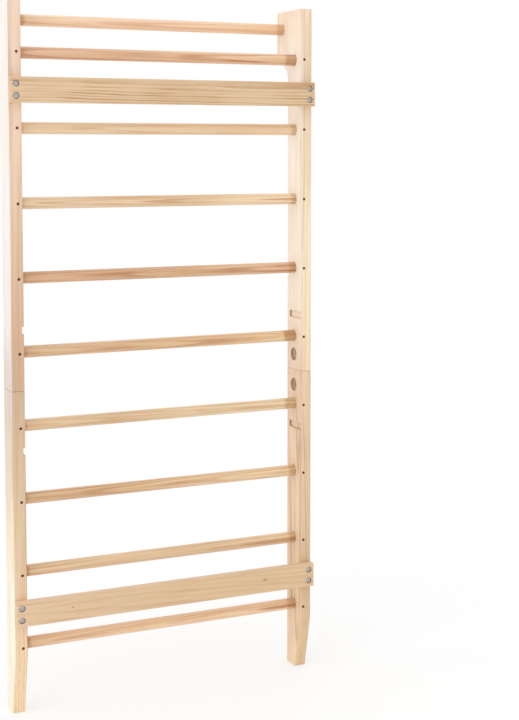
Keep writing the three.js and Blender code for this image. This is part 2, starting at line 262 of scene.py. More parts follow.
def eased(near, far, outline_at):
    """Sections of a board whose edges are rounded: outline_at(inset) gives its outline."""
    rounding = []
    for step in range(EDGE_STEPS + 1):
        angle = step / EDGE_STEPS * math.pi / 2
        depth = EDGE_ROUNDING * (1 - math.cos(angle))
        rounding.append((depth, EDGE_ROUNDING * (1 - math.sin(angle))))
    first = [(near + depth, outline_at(inset)) for depth, inset in rounding]
    last = [(far - depth, outline_at(inset)) for depth, inset in reversed(rounding)]
    return first + last


def chamfered(near, far, outline_at, chamfer):
    """Sections of a solid whose two end faces have a plain chamfer."""
    return [
        (near, outline_at(chamfer)),
        (near + chamfer, outline_at(0.0)),
        (far - chamfer, outline_at(0.0)),
        (far, outline_at(chamfer)),
    ]


def together(meshes):
    whole = bmesh.new()
    for mesh in meshes:
        data = bpy.data.meshes.new("part")
        mesh.to_mesh(data)
        mesh.free()
        whole.from_mesh(data)
        bpy.data.meshes.remove(data)
    return whole


def placed(name, data):
    thing = bpy.data.objects.new(name, data)
    bpy.context.scene.collection.objects.link(thing)
    return thing


def solid(name, mesh):
    data = bpy.data.meshes.new(name)
    mesh.to_mesh(data)
    mesh.free()
    return placed(name, data)


def weld(data):
    """Make corners one that a cut has left on top of each other."""
    mesh = bmesh.new()
    mesh.from_mesh(data)
    bmesh.ops.remove_doubles(mesh, verts=mesh.verts, dist=WELD)
    mesh.to_mesh(data)
    mesh.free()


def shape_with(thing, tools, operation="DIFFERENCE"):
    """Cut the tools from the thing, or keep only what they share with it."""
    tool = solid("tool", together(tools))
    modifier = thing.modifiers.new("shape", "BOOLEAN")
    modifier.operation = operation
    modifier.solver = "EXACT"
    modifier.object = tool
    graph = bpy.context.evaluated_depsgraph_get()
    result = bpy.data.meshes.new_from_object(thing.evaluated_get(graph))
    thing.modifiers.clear()
    spent = thing.data
    weld(result)
    thing.data = result
    result.name = thing.name
    bpy.data.meshes.remove(spent)
    bpy.data.objects.remove(tool)


def surface_of(thing):
    """A thing's surface before a cut, to tell its own faces from cut ones."""
    mesh = bmesh.new()
    mesh.from_mesh(thing.data)
    tree = BVHTree.FromBMesh(mesh)
    mesh.free()
    return tree


def mark(thing, name, before):
    """Set a mesh value to 1 on faces that tools have left since the surface before."""
    marks = thing.data.attributes.new(name, "FLOAT", "CORNER")
    thing.data.calc_loop_triangles()
    for triangle in thing.data.loop_triangles:
        distance = before.find_nearest(triangle.center)[3]
        for corner in triangle.loops:
            marks.data[corner].value = 1.0 if distance > SKIN else 0.0


def finish_piece(thing, material, node, smooth_below=SMOOTH_BELOW):
    """Shade a made piece, give it its material, and let it stand for its CAD node."""
    thing.data.materials.clear()
    thing.data.materials.append(material)
    thing.data.shade_smooth()
    thing.data.set_sharp_from_angle(angle=math.radians(smooth_below))
    normals = thing.modifiers.new("even_normals", "WEIGHTED_NORMAL")
    normals.keep_sharp = True
    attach(thing, BODY)
    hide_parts(node)


# ---- shader graphs


def srgb(red, green, blue):
    """A display colour from 0 to 255 as the linear colour that a node takes."""
    channels = [channel / 255 for channel in (red, green, blue)]
    linear = [c / 12.92 if c <= 0.04045 else ((c + 0.055) / 1.055) ** 2.4 for c in channels]
    return (*linear, 1.0)


WHITE = srgb(255, 255, 255)


class Value:
    """An output socket. Arithmetic on it adds Math nodes."""

    def __init__(self, graph, socket):
        self.graph = graph
        self.socket = socket

    def other(self, output):
        return Value(self.graph, self.socket.node.outputs[output])

    def math(self, operation, first, second=0.0):
        return self.graph.node("Math", {"operation": operation}, {0: first, 1: second})

    def __add__(self, other):
        return self.math("ADD", self, other)

    __radd__ = __add__

    def __sub__(self, other):
        return self.math("SUBTRACT", self, other)

    def __rsub__(self, other):
        return self.math("SUBTRACT", other, self)

    def __mul__(self, other):
        return self.math("MULTIPLY", self, other)

    __rmul__ = __mul__

    def __truediv__(self, other):
        return self.math("DIVIDE", self, other)

    def __rtruediv__(self, other):
        return self.math("DIVIDE", other, self)

    def __pow__(self, other):
        return self.math("POWER", self, other)

    def __rpow__(self, other):
        return self.math("POWER", other, self)

    def __neg__(self):
        return self * -1.0

    def __abs__(self):
        return self.math("ABSOLUTE", self)

    def smooth(self, low, high):
        """0 at low and 1 at high, with a soft step between them."""
        settings = {"interpolation_type": "SMOOTHSTEP"}
        inputs = {"Value": self, "From Min": low, "From Max": high}
        return self.graph.node("MapRange", settings, inputs)


class Graph:
    """The nodes of one material or world."""

    def __init__(self, owner):
        owner.use_nodes = True
        self.tree = owner.node_tree
        self.tree.nodes.clear()

    def node(self, kind, settings=None, inputs=None, output=0):
        """Add a node with its settings and input values or links. Gives one output."""
        node = self.tree.nodes.new(f"ShaderNode{kind}")
        for key, value in (settings or {}).items():
            setattr(node, key, value)
        for key, value in (inputs or {}).items():
            if isinstance(value, Value):
                self.tree.links.new(value.socket, node.inputs[key])
            else:
                node.inputs[key].default_value = value
        outputs = node.outputs
        return Value(self, outputs[output]) if outputs else node

    def vector(self, x, y, z):
        return self.node("CombineXYZ", inputs={0: x, 1: y, 2: z})

    def noise(self, vector, scale=1, detail=2, roughness=0.5):
        inputs = {"Vector": vector, "Scale": scale, "Detail": detail, "Roughness": roughness}
        return self.node("TexNoise", inputs=inputs)

    def ramp(self, stops, factor):
        """A colour that passes through display colours, each at its factor."""
        colour = self.node("ValToRGB", inputs={0: factor})
        ramp = colour.socket.node.color_ramp
        while len(ramp.elements) < len(stops):
            ramp.elements.new(1.0)
        for element, (position, stop) in zip(ramp.elements, stops.items()):
            element.position = position
            element.color = srgb(*stop)
        return colour

    def mix(self, first, second, factor):
        """A colour between two colours."""
        return self.node("Mix", {"data_type": "RGBA"}, {0: factor, 6: first, 7: second}, 2)

    def tint(self, colour, by, factor):
        """A colour multiplied by another as far as the factor says."""
        settings = {"data_type": "RGBA", "blend_type": "MULTIPLY"}
        return self.node("Mix", settings, {0: factor, 6: colour, 7: by}, 2)

    def bump(self, height, strength, distance):
        inputs = {"Strength": strength, "Distance": distance, "Height": height}
        return self.node("Bump", inputs=inputs)

    def attribute(self, name):
        return self.node("Attribute", {"attribute_name": name}, output="Fac")

    def principled(self, inputs):
        return self.node("BsdfPrincipled", inputs=inputs)

    def surface(self, shader):
        self.node("OutputMaterial", inputs={"Surface": shader})


# ---- wood

FIBRE = srgb(214, 178, 138)
RESIN = srgb(150, 98, 58)
END_GRAIN = srgb(248, 238, 224)
DRILLED = srgb(226, 204, 178)
# painted shade on the walls of a recess or large hole near its rim
RIM_WALL_SHADE = srgb(206, 184, 166)
# painted shade inside small drilled holes
SMALL_HOLE_SHADE = srgb(178, 140, 108)
# painted shade on a rung beside its seats
SEAT_SHADE_PAINT = srgb(212, 198, 176)
KNOT_HEART = srgb(128, 82, 50)
KNOT_HALO = srgb(196, 140, 92)

SANDED_SHEEN = 0.25  # fine raised fibres, which lighten a surface seen at a slant
TURNED_SHEEN = 0.42  # more of them on a rung, where the lathe cuts every way of the grain
WOOD_ROUGHNESS = 0.52
WOOD_IOR = 1.45
RELIEF = 0.25 * MM
RELIEF_STRENGTH = 0.35

# Axes of a board's length, side and depth, and which of them it is drilled along
RUNS = {"x": "xzy", "z": "zxy"}
DRILLED_WAY = {"x": 2, "z": 1}

# Waves per metre of each kind of mark, across the fibres and along them
FIBRE_WAVES = (900, 14)
STREAK_WAVES = (170, 3.2)
MOTTLE_WAVES = (14, 4.5)
PATCH_WAVES = (24, 5.5)
DUCT_WAVES = (420, 26)
YEAR_WAVES = (34, 2.6)
STRAY_WAVES = (1.3, 1.1)  # of the log's centre, sideways and in depth

# Levels of the noise between which each kind of mark comes up
FIBRE_LEVELS = (0.4, 0.8)
STREAK_LEVELS = (0.45, 0.75)
FLUSH_LEVELS = (0.35, 0.8)
PATCH_LEVELS = (0.36, 0.62)
DUCT_LEVELS = (0.69, 0.76)

# How strongly each mark colours the wood
FIBRE_TINT = 0.2
FLUSH_TINT = 0.2
DUCT_TINT = 0.14
HALO_TINT = 0.7
HEART_TINT = 0.9
DRILLED_TINT = 0.6
YEARS_SHOW = (0.4, 0.75)  # at least, and how much more in a patch
SEAT_SHADE_SHOWS = (0.65, 0.5)  # at least, and how much more where the mottle is strong

# How far each mark stands up, and what it adds to the roughness
LATE_RELIEF = 0.22
FIBRE_RELIEF = 0.8
STREAK_RELIEF = 0.4
DUCT_RELIEF = -0.5
LATE_ROUGHNESS = -0.1
FIBRE_ROUGHNESS = 0.18
SAWN_ROUGHNESS = 0.15

TONE_WAVER = 0.12  # share of the length
PAINTED_LIGHT_WAVER = 0.3  # share of the half thickness
END_FACING = (0.75, 0.97)  # part of the normal along the board, at end grain
MOUTH_FACING = (0.1, 0.6)  # part of it along the hole, at the face round its mouth

# A year in the log, in shares of its width
LATE_GROWS = (0.25, 0.86)
LATE_STOPS = (0.9, 1.0)
EVERY_YEAR = 0.4  # how strong the palest year is beside the darkest

# Knots, in shares of their own radius
KNOT_EDGE = (0.2, 1.5)
KNOT_HEART_SIZE = 0.55
KNOT_SWIRL_SIZE = 2.6
KNOT_SWIRL = 0.9  # how far the years bend round a knot, in years
SWIRL_STRETCH = 3.0  # along the board
HALO_STRETCH = 2.2
HEART_STRETCH = 1.4

# Ragged, soft edge of the painted shade beside a rung's seats
SEAT_SHADE_RAGGEDNESS = 16 * MM
SEAT_SHADE_FADE = 6 * MM
RIM_SHADE_DEPTH = (5.6 * MM, 8 * MM)  # depth in a large hole over which the painted shade on its walls ends


class Grain:
    """How one board was sawn from its log, and its colours, with what most boards share."""

    lean = (0.0, 0.0)  # how far the log's centre moves per metre of board
    ring = 5.5 * MM  # width of a year
    fleck = 0.25  # how strongly fine streaks of fibre show
    waver = 0.65  # how much a year's width wavers
    wander = 5 * MM  # how far the log's centre strays
    pale = None  # painted light on the +X side, from a share of the half thickness on, given as the tones are
    knots = ()  # (along, across the face, radius) from the board's middle
    painted_seat_shade = None  # painted shade at a rung's low and high end, where the upright shades it, as (millimetres, strength)

    def __init__(self, seed, tones, late, pith, streak, **others):
        self.seed = seed  # picks this board's stretch of every noise
        self.tones = tones  # spring wood: a display colour at each share of the length
        self.late = late  # summer wood, the dark line of each year
        self.pith = pith  # the log's centre from the board's middle, side and depth
        self.streak = streak  # how strongly the years show
        self.__dict__.update(others)


class Marks:
    """What growing left in a board: each varies over it from 0 to 1."""

    def __init__(self, graph, grain, place):
        seed = grain.seed
        self.late = year_rings(graph, grain, place)
        self.fibre = drawn_out(graph, place, FIBRE_WAVES, seed, detail=3, roughness=0.6)
        self.streaks = drawn_out(graph, place, STREAK_WAVES, seed, detail=3, roughness=0.55)
        self.mottle = drawn_out(graph, place, MOTTLE_WAVES, seed)
        self.patches = drawn_out(graph, place, PATCH_WAVES, -seed).smooth(*PATCH_LEVELS)
        self.ducts = drawn_out(graph, place, DUCT_WAVES, -seed, detail=1).smooth(*DUCT_LEVELS)


def board_place(graph, along, middle):
    """Length, side and depth from the board's middle, in metres."""
    place = graph.node("TexCoord", output="Object")
    parts = graph.node("SeparateXYZ", inputs={0: place})
    return [parts.other(axis.upper()) - getattr(middle, axis) for axis in RUNS[along]]


def drawn_out(graph, place, waves, seed, detail=2, roughness=0.5):
    """Noise drawn out along the board."""
    length, side, depth = place
    across, along = waves
    vector = graph.vector(side * across, depth * across, length * along + seed)
    return graph.noise(vector, detail=detail, roughness=roughness)


def knot_nearness(place, knot, stretch):
    """1 at a knot's heart and 0 away from it."""
    length, side, _ = place
    along, across, size = knot
    inner, outer = KNOT_EDGE
    distance = (((length - along) / stretch) ** 2.0 + (side - across) ** 2.0) ** 0.5
    return 1 - distance.smooth(inner * size, outer * size)


def stray(graph, grain, first, second, third):
    """How far the log's centre has strayed at a point."""
    slow = graph.noise(graph.vector(first, second, third), detail=1)
    return (slow - 0.5) * (2 * grain.wander)


def year_rings(graph, grain, place):
    """How much summer wood shows, from 0 to 1."""
    length, side, depth = place
    seed = grain.seed
    sideways, deeper = STRAY_WAVES
    # The bare numbers here only keep the two noises apart
    stray_side = stray(graph, grain, length * sideways + seed, seed * 1.7, 0.0)
    stray_depth = stray(graph, grain, seed * 2.3, length * deeper - seed, 4.0)
    from_side = side - grain.pith[0] - length * grain.lean[0] + stray_side
    from_depth = depth - grain.pith[1] - length * grain.lean[1] + stray_depth
    radius = (from_side ** 2.0 + from_depth ** 2.0) ** 0.5
    across, along = YEAR_WAVES
    uneven = graph.vector(side * across + seed, depth * across, length * along)
    radius = radius + (graph.noise(uneven, detail=3) - 0.5) * (grain.waver * grain.ring)
    for knot_along, knot_across, size in grain.knots:
        swirl = (knot_along, knot_across, size * KNOT_SWIRL_SIZE)
        bend = knot_nearness(place, swirl, SWIRL_STRETCH)
        radius = radius + bend * (KNOT_SWIRL * grain.ring)
    years = radius / grain.ring
    phase = years.math("FRACT", years)
    year = years.math("FLOOR", years)
    late = phase.smooth(*LATE_GROWS) * (1 - phase.smooth(*LATE_STOPS))
    each = graph.node("TexWhiteNoise", {"noise_dimensions": "1D"}, {"W": year + seed})
    return late * (each * (1 - EVERY_YEAR) + EVERY_YEAR)


def spring_wood(graph, grain, half, place, marks):
    """The ground colour along a board, and across it where one side is painted lighter: painted
    light on the side that faces the key lamp.
    """
    length, side, _ = place
    half_length, half_side, _ = half
    share = length / (2 * half_length) + 0.5 + (marks.mottle - 0.5) * TONE_WAVER
    ground = graph.ramp(grain.tones, share)
    # painted light: the +X side, which faces the key lamp, takes lighter tones
    if grain.pale:
        pale = graph.ramp(grain.pale, share)
        wavy_side = side + (marks.mottle - 0.5) * (PAINTED_LIGHT_WAVER * half_side)
        painted_light_share = wavy_side.smooth(grain.pale_from * half_side, half_side)
        ground = graph.mix(ground, pale, painted_light_share)
    flush = marks.mottle.smooth(*FLUSH_LEVELS) * (FLUSH_TINT * grain.streak)
    return graph.mix(ground, srgb(*grain.late), flush)


def with_figure(graph, grain, colour, marks):
    """Years that come and go, fine fibres, and resin ducts."""
    least, more = YEARS_SHOW
    years = marks.late * (marks.patches * more + least) * grain.streak
    colour = graph.mix(colour, srgb(*grain.late), years)
    colour = graph.tint(colour, FIBRE, marks.streaks.smooth(*STREAK_LEVELS) * grain.fleck)
    colour = graph.tint(colour, FIBRE, marks.fibre.smooth(*FIBRE_LEVELS) * FIBRE_TINT)
    return graph.mix(colour, RESIN, marks.ducts * DUCT_TINT)


def with_knots(graph, grain, colour, place):
    for knot in grain.knots:
        along, across, size = knot
        heart = (along, across, KNOT_HEART_SIZE * size)
        near_knot = knot_nearness(place, knot, HALO_STRETCH)
        colour = graph.mix(colour, KNOT_HALO, near_knot * HALO_TINT)
        near_heart = knot_nearness(place, heart, HEART_STRETCH)
        colour = graph.mix(colour, KNOT_HEART, near_heart * HEART_TINT)
    return colour


def with_painted_seat_shade(graph, grain, colour, half_length, length, marks):
    """Painted shade beside a rung's two seats, where the upright shades the rung's ends."""
    least, more = SEAT_SHADE_SHOWS
    ragged = (marks.streaks - 0.5) * SEAT_SHADE_RAGGEDNESS
    for outward, (reach, strength) in zip((-length, length), grain.painted_seat_shade):
        start = half_length - reach * MM
        near_seat = (outward + ragged).smooth(start - SEAT_SHADE_FADE, start + SEAT_SHADE_FADE)
        shade = near_seat * (marks.mottle * more + least) * strength
        colour = graph.tint(colour, SEAT_SHADE_PAINT, shade)
    return colour


def sawn_faces(graph, along, half, place):
    """Where the surface is end grain, a drilled wall, and near the rim of a hole, from 0 to 1."""
    way = DRILLED_WAY[along]
    normal = graph.node("NewGeometry", output="Normal")
    facing = graph.node("SeparateXYZ", inputs={0: normal})
    end = abs(facing.other(along.upper())).smooth(*END_FACING)
    mouth = abs(facing.other(RUNS[along][way].upper())).smooth(*MOUTH_FACING)
    wall = graph.attribute("cut") * (1 - mouth)
    rim = 1 - (half[way] - abs(place[way])).smooth(*RIM_SHADE_DEPTH)
    return end, wall, rim


def sanded_wood(name, along, middle, size, grain, sheen=SANDED_SHEEN):
    """Planed or turned wood, sawn from its log as its grain says."""
    material = bpy.data.materials.new(name)
    graph = Graph(material)
    place = board_place(graph, along, middle)
    half = [getattr(size, axis) / 2 for axis in RUNS[along]]
    marks = Marks(graph, grain, place)
    colour = spring_wood(graph, grain, half, place, marks)
    colour = with_figure(graph, grain, colour, marks)
    colour = with_knots(graph, grain, colour, place)
    # painted shade on a rung beside its seats
    if grain.painted_seat_shade:
        colour = with_painted_seat_shade(graph, grain, colour, half[0], place[0], marks)
    end, wall, rim = sawn_faces(graph, along, half, place)
    colour = graph.tint(colour, END_GRAIN, end)
    colour = graph.mix(colour, DRILLED, wall * DRILLED_TINT)
    # painted shade inside small drilled holes
    colour = graph.tint(colour, SMALL_HOLE_SHADE, graph.attribute("bored"))
    # painted shade on a large hole's walls near its rim
    colour = graph.tint(colour, RIM_WALL_SHADE, wall * rim)

    relief = marks.late * LATE_RELIEF + marks.fibre * FIBRE_RELIEF
    relief = relief + marks.streaks * STREAK_RELIEF + marks.ducts * DUCT_RELIEF
    roughness = WOOD_ROUGHNESS + marks.late * LATE_ROUGHNESS + (marks.fibre - 0.5) * FIBRE_ROUGHNESS
    graph.surface(graph.principled({
        "Base Color": colour,
        "Roughness": roughness + end * SAWN_ROUGHNESS + wall * SAWN_ROUGHNESS,
        "Normal": graph.bump(relief, RELIEF_STRENGTH, RELIEF),
        "IOR": WOOD_IOR,
        "Sheen Weight": sheen,
    }))
    return material


# ---- plated steel

CLOUD_SCALE = 380.0
SPECK_SCALE = 2600.0
CLOUD_LEVELS = (0.3, 0.7)
SPECK_LEVELS = (0.55, 0.8)
SPECK_TINT = 0.35
CLOUD_ROUGHNESS = 0.16
SPECK_ROUGHNESS = 0.1
CLOUD_RELIEF = 0.4
SPECK_RELIEF = 0.6
PLATING_RELIEF = 0.05 * MM


def plated(name, light, dark, roughness, grit):
    """Plated steel: clouded plating with fine specks."""
    material = bpy.data.materials.new(name)
    graph = Graph(material)
    place = graph.node("TexCoord", output="Object")
    clouds = graph.noise(place, CLOUD_SCALE, detail=3, roughness=0.6)
    specks = graph.noise(place, SPECK_SCALE)
    colour = graph.mix(dark, light, clouds.smooth(*CLOUD_LEVELS))
    relief = clouds * CLOUD_RELIEF + specks * SPECK_RELIEF
    colour = graph.tint(colour, dark, specks.smooth(*SPECK_LEVELS) * SPECK_TINT)
    graph.surface(graph.principled({
        "Base Color": colour,
        "Metallic": 1.0,
        "Roughness": clouds * CLOUD_ROUGHNESS + specks * SPECK_ROUGHNESS + roughness,
        "Normal": graph.bump(relief, grit, PLATING_RELIEF),
    }))
    return material


# ---- uprights


def upper_outline(inset):
    nose_z = TOP_Z - HEAD_FRONT_HEIGHT - NOSE_RADIUS * math.tan(HEAD_SLOPE / 2)
    neck_z = nose_z - (FRONT_Y - HEAD_FRONT_Y) / math.tan(HEAD_SLOPE)
    joint_z = upper_low.z
    return rounded([
        corner_at(BACK_Y, joint_z),
        corner_at(BACK_Y, TOP_Z),
        corner_at(HEAD_FRONT_Y, TOP_Z),
        corner_at(HEAD_FRONT_Y, nose_z, NOSE_RADIUS, NOSE_STEPS),
        corner_at(FRONT_Y, neck_z, NECK_RADIUS, NECK_STEPS),
        corner_at(FRONT_Y, joint_z),
    ], inset)


def lower_outline(inset):
    joint_z = lower_high.z
    return rounded([
        corner_at(FRONT_Y + FOOT_DEPTH, FLOOR_Z),
        corner_at(BACK_Y, FLOOR_Z + FOOT_TAPER_HEIGHT, TAPER_ROUNDING),
        corner_at(BACK_Y, joint_z),
        corner_at(FRONT_Y, joint_z),
        corner_at(FRONT_Y, FLOOR_Z),
    ], inset)


def seat_cutter(side, rung):
    low, high, middle = box_of(rung)
    mouth = Vector((side * INNER_X, middle.y, middle.z))
    radius = (high.z - low.z) / 2 + SEAT_CLEARANCE
    return bore("x", mouth, side, [(SEAT_DEPTH, radius)], RUNG_SIDES)


def lock_cutter(hand, number):
    """A locking screw's stepped hole, from the back, or from the head's front for rung 1."""
    low, high, middle = box_of(f"rung_screw_{hand}_{number:02d}")
    way = 1 if number == 1 else -1
    face_y = HEAD_FRONT_Y if number == 1 else BACK_Y
    head_top = low.y if number == 1 else high.y
    head_radius = (high.x - low.x) / 2 + CLEARANCE
    seat = abs(head_top - face_y) + LOCK_HEAD_HEIGHT + CLEARANCE
    _, _, rung = box_of(f"rung_{number:02d}")
    steps = [(seat, head_radius), (abs(rung.y - face_y), LOCK_SHANK[0] + CLEARANCE)]
    mouth = Vector((middle.x, face_y, middle.z))
    return bore("y", mouth, way, steps, LOCK_SIDES, LOCK_CHAMFER)


def pilot_cutter(screw):
    low, _, middle = box_of(screw)
    steps = [(BACK_Y - low.y + CLEARANCE, RAIL_SHANK[0] + CLEARANCE)]
    return bore("y", Vector((middle.x, BACK_Y, middle.z)), -1, steps, RAIL_PILOT_SIDES)


def access_cutter(side, up):
    mouth = Vector((side * INNER_X, MIDDLE_Y, JOINT_Z + up * ACCESS_OFFSET))
    return bore("x", mouth, side, [(ACCESS_DEPTH, ACCESS_RADIUS)], ACCESS_SIDES)


def rod_cutter(hand, up):
    _, _, middle = box_of(f"joint_rod_{hand}")
    steps = [(ACCESS_OFFSET, ROD_RADIUS + ROD_CLEARANCE)]
    return bore("z", Vector((middle.x, MIDDLE_Y, JOINT_Z)), up, steps, ROD_HOLE_SIDES)


def dowel_cutter(hand, place, up):
    low, high, middle = box_of(f"joint_dowel_{hand}_{place}")
    steps = [((high.z - low.z) / 2 + CLEARANCE, (high.x - low.x) / 2 + CLEARANCE)]
    return bore("z", Vector((middle.x, middle.y, JOINT_Z)), up, steps, DOWEL_HOLE_SIDES)


def recess_cutter(side, up):
    """The shallow slot for a wall bracket, open at the inner face and at the back."""
    middle = JOINT_Z + up * RECESS_OFFSET
    low = middle - RECESS_HEIGHT / 2
    high = middle + RECESS_HEIGHT / 2
    front = FRONT_Y + RECESS_FRONT_WALL

    def outline(growth):
        return rounded([
            corner_at(BACK_Y + CUT_PAST, low, 0),
            corner_at(BACK_Y + CUT_PAST, high, 0),
            corner_at(front, high, RECESS_CORNER, RECESS_STEPS),
            corner_at(front, low, RECESS_CORNER, RECESS_STEPS),
        ], -growth)

    sections = [
        (-side * CUT_PAST, outline(HOLE_CHAMFER + CUT_PAST)),
        (side * HOLE_CHAMFER, outline(0.0)),
        (side * RECESS_DEPTH, outline(0.0)),
    ]
    return lofted("x", Vector((side * INNER_X, 0, 0)), sections)


def wide_cutters(side, up, rungs):
    seats = [seat_cutter(side, f"rung_{number:02d}") for number in rungs]
    return seats + [access_cutter(side, up), recess_cutter(side, up)]


def narrow_cutters(hand, end, rungs):
    up = ENDS[end]
    locks = [lock_cutter(hand, number) for number in rungs]
    pilots = [pilot_cutter(f"rail_screw_{end}_{hand}_{index}") for index in (1, 2)]
    dowels = [dowel_cutter(hand, place, up) for place in PLACES]
    return locks + pilots + [rod_cutter(hand, up)] + dowels


def make_upright(hand, end, material):
    node = f"upright_{hand}_{end}"
    low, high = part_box(node)
    upper = end == "upper"
    outline = upper_outline if upper else lower_outline
    rungs = range(1, UPPER_RUNGS + 1) if upper else range(UPPER_RUNGS + 1, RUNG_COUNT + 1)
    board = solid(f"{node}_board", lofted("x", Vector(), eased(low.x, high.x, outline)))
    blank = surface_of(board)
    shape_with(board, wide_cutters(SIDES[hand], ENDS[end], rungs))
    routed = surface_of(board)
    shape_with(board, narrow_cutters(hand, end, rungs))
    mark(board, "cut", blank)
    mark(board, "bored", routed)
    finish_piece(board, material, node)


# ---- rungs and rails


def rung_bore(hand, number, middle, radius):
    """The hole in a rung's end for its locking screw."""
    low, high, screw = box_of(f"rung_screw_{hand}_{number:02d}")
    way = 1 if number == 1 else -1
    tip_y = high.y if number == 1 else low.y
    mouth = Vector((screw.x, middle.y - way * radius, middle.z))
    steps = [(abs(tip_y - mouth.y) + CLEARANCE, LOCK_SHANK[0] + CLEARANCE)]
    return bore("y", mouth, way, steps, RUNG_BORE_SIDES)


def make_rung(number, material):
    node = f"rung_{number:02d}"
    low, high, middle = box_of(node)
    radius = (high.z - low.z) / 2
    span = high.x - low.x
    profile = [(0.0, radius - RUNG_CHAMFER), (RUNG_CHAMFER, radius)]
    profile += [(span * step / RUNG_SECTIONS, radius) for step in range(1, RUNG_SECTIONS)]
    profile += [(span - RUNG_CHAMFER, radius), (span, radius - RUNG_CHAMFER)]
    start = Vector((low.x, middle.y, middle.z))
    bar = solid(f"{node}_bar", turned("x", start, 1, profile, RUNG_SIDES))
    blank = surface_of(bar)
    shape_with(bar, [rung_bore(hand, number, middle, radius) for hand in SIDES])
    mark(bar, "bored", blank)
    finish_piece(bar, material, node)


def counterbore(low, high, screw):
    """A rail screw's hole through a rail, from the back of the rail's box."""
    _, top, middle = box_of(screw)
    seat = high.y - top.y + RAIL_HEAD_HEIGHT + CLEARANCE
    steps = [
        (seat, RAIL_COUNTERBORE_RADIUS),
        (high.y - low.y + CUT_PAST, RAIL_SHANK[0] + CLEARANCE),
    ]
    return bore("y", Vector((middle.x, high.y, middle.z)), -1, steps, RAIL_SIDES)


def make_rail(end, material):
    node = f"wall_rail_{end}"
    low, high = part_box(node)

    def outline(inset):
        places = ((high.y, low.z), (high.y, high.z), (low.y, high.z), (low.y, low.z))
        return rounded([corner_at(*place) for place in places], inset)

    board = solid(f"{node}_board", lofted("x", Vector(), eased(low.x, high.x, outline)))
    holes = []
    for hand in SIDES:
        for index in (1, 2):
            holes.append(counterbore(low, high, f"rail_screw_{end}_{hand}_{index}"))
    blank = surface_of(board)
    shape_with(board, holes)
    mark(board, "cut", blank)
    finish_piece(board, material, node)


# ---- screws


def threaded_shank(start, length, radius, pitch):
    """Profile of a screw's shank with ridges, ending in its tip."""
    root = radius * THREAD_ROOT
    ridge = [(THREAD_FALLEN, root), (THREAD_RISING, root), (1.0, radius)]
    tip = [(TIP_LENGTH, radius), (TIP_BLUNTING, TIP_RADIUS), (0.0, TIP_POINT)]
    profile = [(start, radius)]
    for index in range(int((length - start - TIP_LENGTH) / pitch)):
        at = start + index * pitch
        profile += [(at + share * pitch, reach) for share, reach in ridge]
    return profile + [(length - back, reach) for back, reach in tip]


def cut_socket(screw, mouth, way, across_flats, depth):
    """Cut a hexagon socket with a drilled floor, and then its small lead-in."""
    corner = across_flats / math.sqrt(3)
    hexagon = [
        (-CUT_PAST, corner),
        (depth, corner),
        (depth * SOCKET_DRILLED_DEPTH, SOCKET_DRILLED_FLOOR * corner),
    ]
    lead = [
        (-CUT_PAST, across_flats / 2 + SOCKET_LEAD + CUT_PAST),
        (2 * SOCKET_LEAD, across_flats / 2 - SOCKET_LEAD),
    ]
    shape_with(screw, [turned("y", mouth, way, hexagon, 6)])
    shape_with(screw, [turned("y", mouth, way, lead, SOCKET_LEAD_SIDES)])


def domed_head(radius):
    """Profile of a rail screw's head, from the flat round its socket."""
    dome = RAIL_HEAD_HEIGHT - RAIL_RIM_HEIGHT
    profile = [(0.0, RAIL_LAND_RADIUS * 0.5)]
    for step in range(RAIL_DOME_STEPS + 1):
        angle = math.pi / 2 * (1 - step / RAIL_DOME_STEPS)
        reach = RAIL_LAND_RADIUS + (radius - RAIL_LAND_RADIUS) * math.cos(angle)
        profile.append((dome * (1 - math.sin(angle)), reach))
    rim = [(RAIL_HEAD_HEIGHT - RAIL_RIM_EDGE, radius), (RAIL_HEAD_HEIGHT, radius - RAIL_RIM_EDGE)]
    return profile + rim


def flat_head(radius):
    """Profile of a locking screw's head."""
    return [
        (0.0, radius - LOCK_TOP_EDGE),
        (LOCK_TOP_EDGE, radius),
        (LOCK_HEAD_HEIGHT - LOCK_UNDER_EDGE, radius),
        (LOCK_HEAD_HEIGHT, radius - LOCK_UNDER_EDGE),
    ]


def make_screw(node, way, head, shank, socket, sides, material):
    """Turn a screw that points the way given, and cut its socket."""
    low, high, middle = box_of(node)
    top = Vector((middle.x, low.y if way > 0 else high.y, middle.z))
    profile = head((high.x - low.x) / 2)
    profile += threaded_shank(profile[-1][0], high.y - low.y, *shank)
    screw = solid(f"{node}_plated", turned("y", top, way, profile, sides))
    cut_socket(screw, top, way, *socket)
    finish_piece(screw, material, node)


# ---- the bolted joints


def make_rod(hand, material):
    """A stud with a helical thread at each end."""
    node = f"joint_rod_{hand}"
    low, high, middle = box_of(node)
    length = high.z - low.z
    rise = ROD_PITCH / ROD_SECTIONS
    sections = []
    for index in range(int(length / rise) + 1):
        height = min(index * rise, length)
        from_end = min(height, length - height)
        threaded = 1.0 if from_end < ROD_THREAD_LENGTH else 0.0
        lead = min(1.0, from_end / ROD_THREAD_DEPTH)
        outline = []
        for corner in range(ROD_SIDES):
            turn = corner / ROD_SIDES
            groove = abs(((height / ROD_PITCH - turn) % 1.0) * 2 - 1)
            reach = ROD_RADIUS - ROD_THREAD_DEPTH * max(threaded * groove, 1 - lead)
            outline.append(polar(reach, 2 * math.pi * turn))
        sections.append((height, outline))
    start = Vector((middle.x, middle.y, low.z))
    rod = solid(f"{node}_plated", lofted("z", start, sections))
    finish_piece(rod, material, node, ROD_SMOOTH_BELOW)


